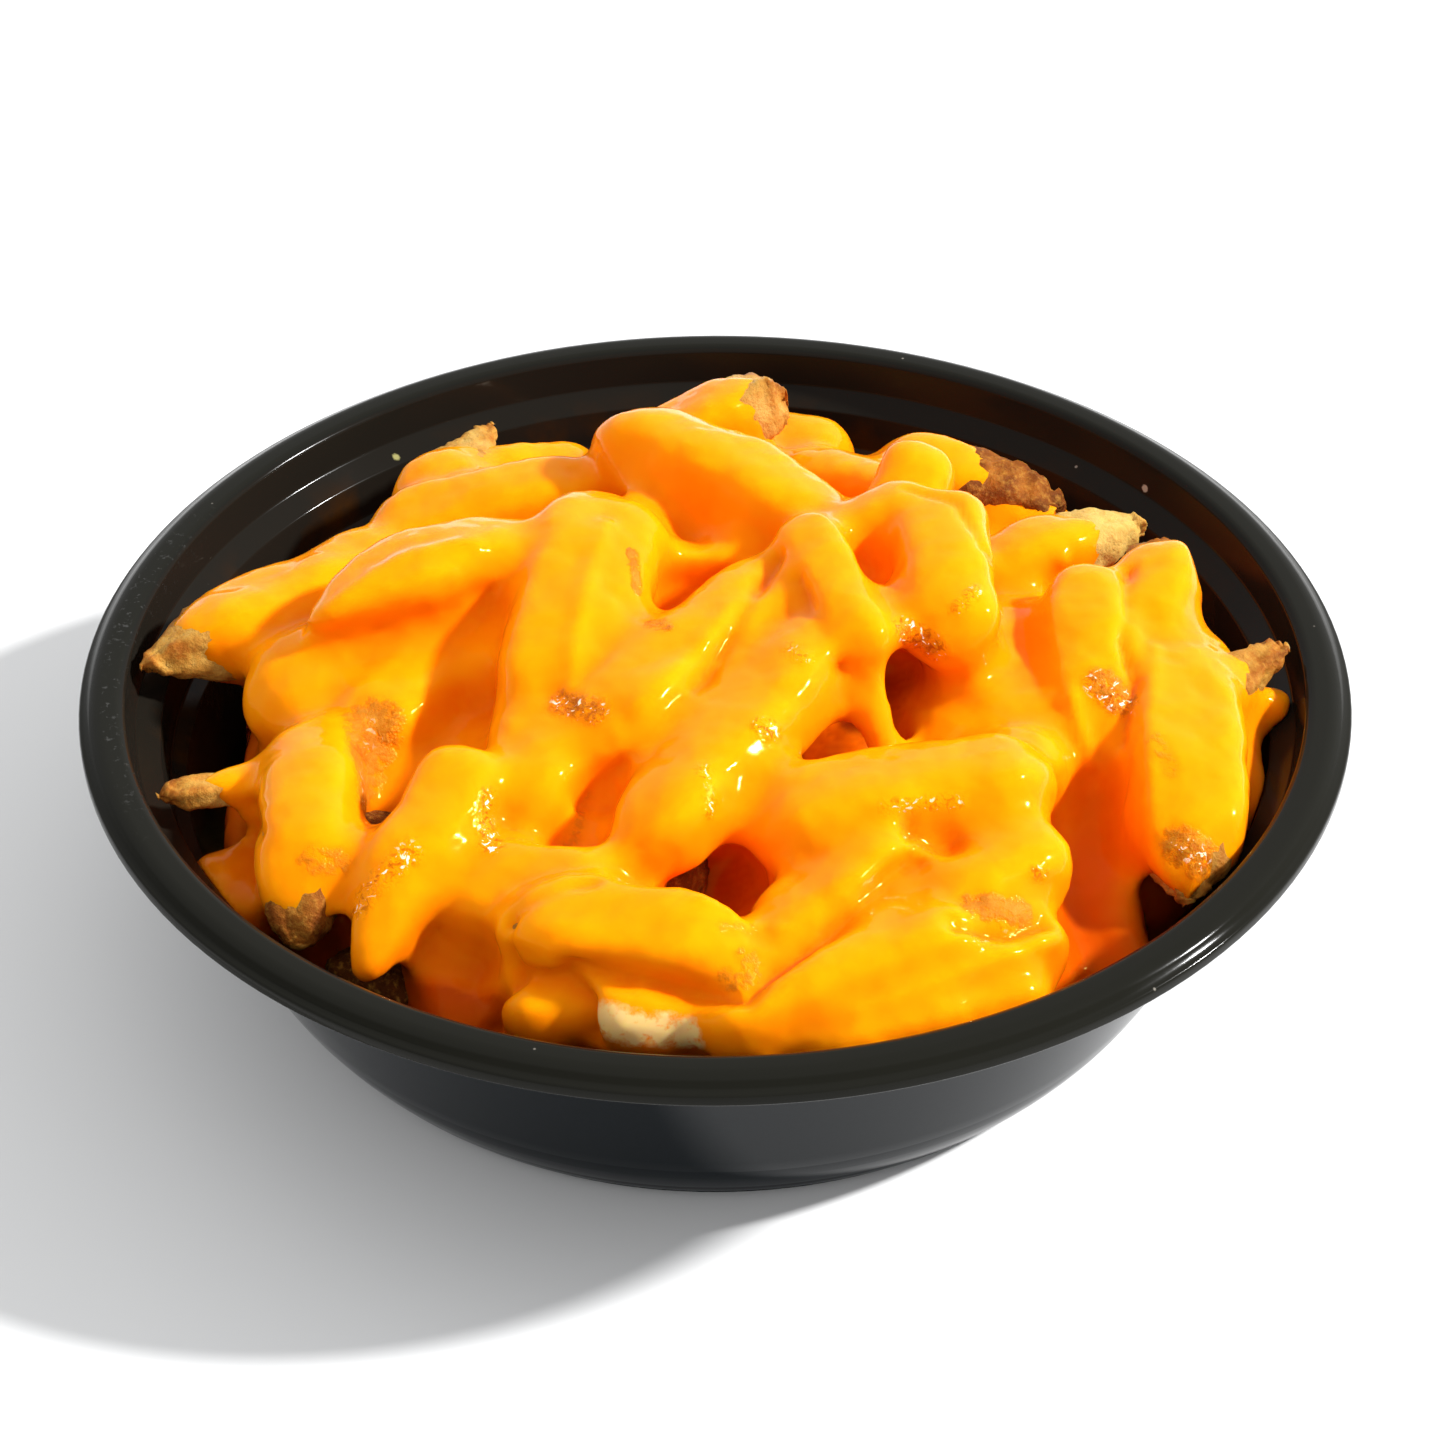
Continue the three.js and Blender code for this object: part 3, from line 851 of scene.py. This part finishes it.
# strokes over the sauce, along pixels of the photograph: small ridges and grooves, with their rise in mm
ridges = [
    {"line": [(607, 526), (583, 600), (571, 688)], "wide": 1.6, "rise": 0.7},
    {"line": [(776, 556), (705, 678), (621, 766), (582, 804)], "wide": 1.3, "rise": -1.3},
    {"line": [(797, 577), (842, 668)], "wide": 1.3, "rise": -1.1},
    {"line": [(916, 826), (944, 838)], "wide": 2.4, "rise": -2.6},
    {"line": [(571, 968), (640, 980), (690, 994), (744, 997), (763, 974)], "wide": 1.6, "rise": -1.8},
    {"line": [(917, 857), (825, 929), (777, 961)], "wide": 2.0, "rise": -2.2},
    {"line": [(958, 922), (1012, 933), (1046, 920)], "wide": 1.6, "rise": -1.8},
    {"line": [(1127, 569), (1124, 640), (1134, 677), (1121, 741)], "wide": 1.1, "rise": -1.1},
    {"line": [(908, 488), (955, 501), (982, 545), (992, 562)], "wide": 0.9, "rise": -0.7},
    {"line": [(247, 761), (259, 833)], "wide": 1.5, "rise": -0.8},
    {"line": [(508, 921), (592, 881)], "wide": 1.2, "rise": -1.0},
    {"line": [(508, 921), (516, 973)], "wide": 1.2, "rise": -0.8},
    {"line": [(640, 706), (700, 652), (748, 600)], "wide": 2.0, "rise": 0.7},
    {"line": [(1062, 560), (1072, 700), (1090, 760)], "wide": 1.2, "rise": 0.8},
    {"line": [(330, 615), (400, 560), (470, 545)], "wide": 1.8, "rise": 0.8},
    {"line": [(1155, 650), (1150, 760), (1155, 830)], "wide": 1.4, "rise": 0.6},
    {"line": [(700, 900), (780, 930)], "wide": 1.4, "rise": 0.7},
    {"line": [(860, 1010), (950, 975), (1040, 940)], "wide": 1.6, "rise": 0.7},
    {"line": [(494, 1034), (499, 1000), (522, 977), (564, 979), (588, 1002), (592, 1036)],
     "wide": 1.4, "rise": -1.8},
    {"line": [(532, 1012), (556, 1018)], "wide": 3.4, "rise": 1.2},
]
# thin places where the crust shows through; share is how strongly, fully where it isn't given
barePatches = [
    {"line": [(1103, 682), (1118, 698)], "wide": 2.2, "share": 0.8},
    {"line": [(1156, 740), (1170, 768)], "wide": 1.6, "share": 0.4},
    {"line": [(908, 634), (930, 646)], "wide": 1.6, "share": 0.55},
    {"line": [(562, 702), (594, 711)], "wide": 2.0, "share": 0.6},
    {"line": [(632, 552), (637, 590)], "wide": 0.8},
    {"line": [(652, 623), (666, 626)], "wide": 1.3, "share": 0.65},
    {"line": [(974, 906), (1022, 912)], "wide": 1.8, "share": 0.9},
    {"line": [(916, 826), (936, 840)], "wide": 2.0, "share": 0.6},
    {"line": [(374, 722), (366, 808)], "wide": 3.6},
    {"line": [(312, 860), (338, 862)], "wide": 2.0, "share": 0.55},
    {"line": [(728, 979), (760, 980)], "wide": 1.5, "share": 0.6},
    {"line": [(724, 928), (752, 930)], "wide": 1.2, "share": 0.35},
    {"line": [(748, 956), (756, 976)], "wide": 1.6, "share": 0.5},
    {"line": [(588, 799), (570, 846)], "wide": 1.2, "share": 0.4},
    {"line": [(1180, 844), (1204, 860)], "wide": 2.5, "share": 0.9},
]
# folds that lie deep in the shade, painted dark as shade
deepShadePatches = [
    {"line": [(410, 1000), (452, 1004), (492, 1012)], "wide": 3.4},
    {"line": [(590, 1006), (592, 1034)], "wide": 1.2, "share": 0.8},
    {"line": [(498, 1004), (500, 1032)], "wide": 1.2, "share": 0.9},
    {"line": [(1098, 770), (1090, 880), (1062, 962)], "wide": 4.0, "share": 0.72},
]
# a wet, pale cut end
palePatches = [
    {"line": [(606, 1022), (636, 1030)], "wide": 2.4},
    {"line": [(662, 1030), (688, 1036)], "wide": 2.2},
]
# places full of tiny bubbles, their glints painted in as white specks and their pits painted dark as shade
bubblyPatches = [
    {"line": [(408, 852), (358, 908)], "wide": 1.7, "share": 0.75},
    {"line": [(343, 958), (346, 976)], "wide": 1.2},
    {"line": [(487, 800), (492, 846)], "wide": 1.4},
    {"line": [(958, 608), (976, 590)], "wide": 0.9, "share": 0.8},
    {"line": [(903, 628), (934, 648)], "wide": 1.6},
    {"line": [(702, 768), (710, 812)], "wide": 0.9, "share": 0.7},
    {"line": [(888, 806), (958, 802)], "wide": 1.0, "share": 0.6},
    {"line": [(376, 724), (364, 806)], "wide": 2.2, "share": 0.4},
    {"line": [(1100, 684), (1122, 700)], "wide": 2.0},
    {"line": [(980, 934), (1030, 924)], "wide": 1.4, "share": 0.7},
    {"line": [(1036, 872), (1042, 874)], "wide": 0.9, "share": 0.8},
    {"line": [(562, 704), (596, 712)], "wide": 1.6, "share": 0.9},
    {"line": [(1182, 846), (1202, 858)], "wide": 1.7, "share": 0.7},
    {"line": [(790, 648), (804, 658)], "wide": 1.0, "share": 0.6},
    {"line": [(762, 726), (772, 730)], "wide": 1.3, "share": 0.9},
]


def alongStroke(points, tree, stroke):
    # distance of each point of the sauce from the stroke, in widths of the stroke
    seen = [tree.ray_cast(start * mm, direction)[0] for start, direction in map(pixelRay, stroke["line"])]
    seen = [np.array(place) for place in seen if place is not None]
    gap = np.full(len(points), 99.0)
    for start, end in zip(seen, seen[1:]):
        line = end - start
        share = np.clip((points - start) @ line / max(line @ line, 1e-12), 0, 1)
        nearest = start + share[:, None] * line
        gap = np.minimum(gap, np.linalg.norm(points - nearest, axis=1) / (stroke["wide"] * mm))
    return gap


def insideStrokes(points, tree, strokes):
    # full within 0.6 widths of a stroke, gone at 1.6
    share = np.zeros(len(points))
    for stroke in strokes:
        most = stroke.get("share", 1.0)
        share = np.maximum(share, most * np.clip(1.6 - alongStroke(points, tree, stroke), 0, 1))
    return share


def makeSauce():
    piece = makeSauceBody()
    print("sauce joined:", len(piece.data.polygons), "faces")
    mesh = piece.data
    edges = np.empty(len(mesh.edges) * 2, dtype=np.int32)
    mesh.edges.foreach_get("vertices", edges)
    edges = edges.reshape(-1, 2)
    settle(mesh, edges)
    points, normals = readPoints(mesh), readNormals(mesh)
    broad, fine = sauce["lumpScales"]
    lumps = np.array([noise.noise(Vector(p) * broad) + 0.5 * noise.noise(Vector(p) * fine) for p in points])
    points += normals * (lumps * sauce["lump"] * mm)[:, None]
    reach = insideRadius(points[:, 2] / mm) * mm - sauce["wallGap"] * mm
    radius = np.hypot(points[:, 0], points[:, 1])
    points[:, :2] *= np.minimum(1, reach / np.maximum(radius, 1e-6))[:, None]
    writePoints(mesh, points)
    tree = BVHTree.FromObject(piece, bpy.context.evaluated_depsgraph_get())
    rise = sum(stroke["rise"] * np.exp(-alongStroke(points, tree, stroke) ** 2) for stroke in ridges)
    points += readNormals(mesh) * (rise * mm)[:, None]
    writePoints(mesh, points)
    # folds, slopes and hollows, read by the sauce's colour for painted shade
    soft = relaxed(points, edges, sauce["foldRounds"])
    fold = np.einsum("ij,ij->i", points - soft, readNormals(mesh)) / mm
    slope = relaxed(readNormals(mesh), edges, sauce["slopeRounds"])
    addValues(mesh, "steep", 1 - slope[:, 2] / np.maximum(np.linalg.norm(slope, axis=1), 1e-6))
    addValues(mesh, "fold", np.clip(-fold / sauce["foldDepth"], -1, 1))
    # strokes of painted shade, deepening the hollows' tint
    deep = sauce["patchSunk"] * insideStrokes(points, tree, deepShadePatches)
    sunk = np.maximum(sunken(piece, points) / sauce["sunkDepth"], deep)
    addValues(mesh, "sunk", np.clip(sunk, -1, 1.5))
    for name, patches in (("worn", barePatches), ("bubbly", bubblyPatches), ("pale", palePatches)):
        addValues(mesh, name, insideStrokes(points, tree, patches))
    mesh.shade_smooth()
    return piece


def trimUnderside(piece):
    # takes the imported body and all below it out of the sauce, so that it is a cap over the fries
    cutter = linkMesh(heapBody(wide=sauce["cutterRadius"]), "cutter")
    cut = piece.modifiers.new("cut", "BOOLEAN")
    cut.operation = "DIFFERENCE"
    cut.solver = "EXACT"
    cut.object = cutter
    applyModifiers(piece)
    bpy.data.objects.remove(cutter)


friedLook = {
    "grainScale": 1000.0,
    "blotchScale": 240.0,
    "browning": [  # from pale to dark brown
        (0.0, (0.56, 0.36, 0.09)),
        (0.38, (0.43, 0.2, 0.033)),
        (0.56, (0.31, 0.1, 0.012)),
        (0.78, (0.17, 0.045, 0.006)),
        (1.0, (0.08, 0.018, 0.003)),
    ],
    "paleGrain": (0.52, 0.25, 0.04),
    "shader": {
        "Specular IOR Level": 0.08,
        "Specular Tint": (1.0, 0.7, 0.4, 1.0),
        "Subsurface Weight": 0.15,
        "Subsurface Radius": (1.0, 0.5, 0.25),
        "Subsurface Scale": 0.002,
    },
}


def friedCrust():
    # colour and height of fried potato: pale where toast is low, reddish brown where it is high
    group, inside, outside = newGroup("fried crust", {"Place": "Vector", "Toast": "Float"},
                                      {"Color": "Color", "Height": "Float"})
    grain = addNoise(group, inside["Place"], friedLook["grainScale"], 5.0, 0.65)
    blotch = addNoise(group, inside["Place"], friedLook["blotchScale"], 4.0, 0.6)
    toast = addMath(group, "ADD", inside["Toast"], addRange(group, blotch, 0.3, 0.7, -0.3, 0.4))
    color = addRamp(group, addRange(group, toast, -0.6, 1.0), friedLook["browning"])
    color = addMix(group, addRange(group, grain, 0.5, 0.7, 0.0, 0.5), color, friedLook["paleGrain"])
    wire(group, color, outside["Color"])
    wire(group, addMath(group, "ADD", grain, multiply(group, blotch, 0.6)), outside["Height"])
    return group


def friedPotato(crust):
    material, tree, shader = newMaterial("fried potato", friedLook["shader"])
    look = addGroup(tree, crust, Place=objectPlace(tree), Toast=addAttribute(tree, "toast"))
    wire(tree, look["Color"], shader.inputs["Base Color"])
    wire(tree, addRange(tree, look["Height"], 0.5, 1.1, 0.3, 0.5), shader.inputs["Roughness"])
    wire(tree, addBump(tree, look["Height"], 0.8, 0.0006), shader.inputs["Normal"])
    return material


sauceLook = {
    # deeper orange into the folds: painted shade in the creases
    "folds": [  # from the ridges to the folds
        (0.0, (0.9, 0.305, 0.0012)),
        (0.4, (0.89, 0.26, 0.001)),
        (1.0, (0.82, 0.145, 0.0007)),
    ],
    "cloud": (0.88, 0.23, 0.001),
    # deeper orange on steep slopes: painted shade, partly the thinner sauce there
    "steep": (0.84, 0.175, 0.0008),
    # darker in hollows below the heap round them: painted shade
    "sunk": (0.65, 0.075, 0.0006),
    # near black in the deepest holes: painted shade
    "pit": (0.22, 0.014, 0.0003),
    # darker low down near the table: painted shade
    "low": (0.5, 0.055, 0.0005),
    "lowHeight": (0.0425, 0.034),  # m above the table
    "thin": (0.55, 0.1, 0.002),
    "crustTint": (0.88, 0.74, 0.38),  # over the crust that shows through
    "wetEnd": (0.82, 0.54, 0.2),
    # dark between the bubbles: painted shade in their pits
    "bubblePitShade": (0.4, 0.06, 0.002),
    # white specks: painted highlights of the bubbles
    "paintedBubbleGlints": (1.0, 0.92, 0.75),
    "roughness": (0.07, 0.15),
    "shader": {
        "Specular IOR Level": 0.17,
        "Specular Tint": (1.0, 0.7, 0.05, 1.0),
        "Subsurface Weight": 0.5,
        "Subsurface Radius": (1.0, 0.35, 0.05),
        "Subsurface Scale": 0.003,
    },
}


def cheeseSauce(crust):
    material, tree, shader = newMaterial("cheese sauce", sauceLook["shader"])
    place = objectPlace(tree)
    # painted shade: the colour deepens into the folds
    fold = addRange(tree, addAttribute(tree, "fold"), -0.6, 1.0)
    color = addRamp(tree, fold, sauceLook["folds"])
    cloud = addRange(tree, addNoise(tree, place, 110.0, 4.0, 0.6, 0.6), 0.42, 0.62, 0.0, 0.5)
    color = addMix(tree, cloud, color, sauceLook["cloud"])
    # painted shade on steep slopes, partly the thinner sauce there
    steep = addRange(tree, addAttribute(tree, "steep"), 0.2, 0.9, 0.0, 0.7)
    color = addMix(tree, steep, color, sauceLook["steep"])
    # painted shade in the hollows
    sunk = addRange(tree, addAttribute(tree, "sunk"), 0.55, 1.5)
    color = addMix(tree, sunk, color, sauceLook["sunk"])
    # painted shade in the deepest holes
    pit = addRange(tree, addAttribute(tree, "sunk"), 1.15, 1.5, 0.0, 0.9)
    color = addMix(tree, pit, color, sauceLook["pit"])
    # painted shade, darker towards the bottom
    low = addRange(tree, addParts(tree, place)[2], *sauceLook["lowHeight"], 0.0, 0.9)
    color = addMix(tree, low, color, sauceLook["low"])
    rough = addRange(tree, addNoise(tree, place, 700.0, 4.0, 0.6), 0.3, 0.7, 0.4, 1.6)
    worn = multiply(tree, addAttribute(tree, "worn"), rough)
    thin, worn = addRange(tree, worn, 0.1, 0.7), addRange(tree, worn, 0.35, 1.0)
    look = addGroup(tree, crust, Place=place, Toast=0.0)
    seen = addMix(tree, 1.0, look["Color"], sauceLook["crustTint"], "MULTIPLY")
    color = addMix(tree, multiply(tree, thin, 0.5), color, sauceLook["thin"])
    color = addMix(tree, multiply(tree, worn, 0.75), color, seen)
    wet = addRange(tree, multiply(tree, addAttribute(tree, "pale"), rough), 0.3, 0.9)
    color = addMix(tree, wet, color, sauceLook["wetEnd"])
    bubbly = addAttribute(tree, "bubbly")
    froth = addNoise(tree, place, 1000.0, 3.0, 0.5, 0.8)
    # white specks where the froth peaks: painted highlights of the bubbles
    paintedGlints = multiply(tree, addRange(tree, froth, 0.6, 0.64), addRange(tree, bubbly, 0.3, 0.9))
    # dark between the bubbles: painted shade in their pits
    pitShade = multiply(tree, addRange(tree, froth, 0.46, 0.38, 0.0, 0.8), bubbly)
    color = addMix(tree, pitShade, color, sauceLook["bubblePitShade"])
    color = addMix(tree, paintedGlints, color, sauceLook["paintedBubbleGlints"])
    wire(tree, color, shader.inputs["Base Color"])
    gloss = addRange(tree, addNoise(tree, place, 120.0, 3.0), 0.3, 0.7, *sauceLook["roughness"])
    dulled = multiply(tree, worn, 0.12)
    wire(tree, addMath(tree, "ADD", gloss, dulled), shader.inputs["Roughness"])
    bubbles = multiply(tree, bubbly, addNoise(tree, place, 1100.0, 3.0, 0.6))
    height = addMath(tree, "ADD", multiply(tree, addNoise(tree, place, 260.0, 1.0), 0.5),
                     multiply(tree, bubbles, 1.2))
    height = addMath(tree, "ADD", height, multiply(tree, worn, look["Height"]))
    wire(tree, addBump(tree, height, 0.5, 0.0007), shader.inputs["Normal"])
    return material


# Floor and light

studio = {
    "floorSide": 60.0,  # m
    "floorTone": (0.77, 0.8),
    "sunStrength": 6.35,
    "sunAngle": 5.0,  # degrees across
    "toSun": (64, 4.6, 46),
    "fillStrength": 0.6,
    "fillAngle": 100.0,
    "toFill": (-60, -35, 70),
    "skyColor": (0.98, 0.99, 1.0, 1.0),
    "skyStrength": 0.78,
}


def makeFloor():
    bm = bmesh.new()
    bmesh.ops.create_grid(bm, x_segments=1, y_segments=1, size=studio["floorSide"] / 2 / mm)
    floor = linkMesh(bm, "floor")
    material, tree, shader = newMaterial("pale floor", {"Roughness": 0.7})
    tone = addRange(tree, addNoise(tree, objectPlace(tree), 4.0, 2.0), 0.3, 0.7, *studio["floorTone"])
    wire(tree, tone, shader.inputs["Base Color"])
    floor.data.materials.append(material)


def makeSun(name, strength, angle, toward):
    light = bpy.data.lights.new(name, "SUN")
    light.energy = strength
    light.angle = math.radians(angle)
    lamp = bpy.data.objects.new(name, light)
    lamp.rotation_mode = "QUATERNION"
    lamp.rotation_quaternion = Vector(toward).to_track_quat("Z", "Y")
    scene.collection.objects.link(lamp)
    return lamp


def makeLights():
    makeSun("key", studio["sunStrength"], studio["sunAngle"], studio["toSun"])
    fill = makeSun("fill", studio["fillStrength"], studio["fillAngle"], studio["toFill"])
    fill.visible_glossy = False
    sky = bpy.data.worlds.new("soft fill")
    sky.use_nodes = True
    light = sky.node_tree.nodes["Background"].inputs
    light["Color"].default_value = studio["skyColor"]
    light["Strength"].default_value = studio["skyStrength"]
    scene.world = sky
    scene.view_settings.view_transform = "Standard"


makeCamera()
makeFloor()
makeLights()
print("camera, floor and light placed")

dullOutside(dress(makeBowl(), blackPlastic("black plastic", plastic["rimLevel"]), "bowl_plastic", "bowl"))
print("bowl made")

crust = friedCrust()
crispFries = dress(makeCrispFries(), friedPotato(crust), "fried_potato", "fries")
print("crisp fries made:", len(crispFries.data.polygons), "faces")

cheeseCoat = makeSauce()
trimUnderside(cheeseCoat)
dress(cheeseCoat, cheeseSauce(crust), "cheese_sauce", "cheese_sauce")
print("sauce made:", len(cheeseCoat.data.polygons), "faces")
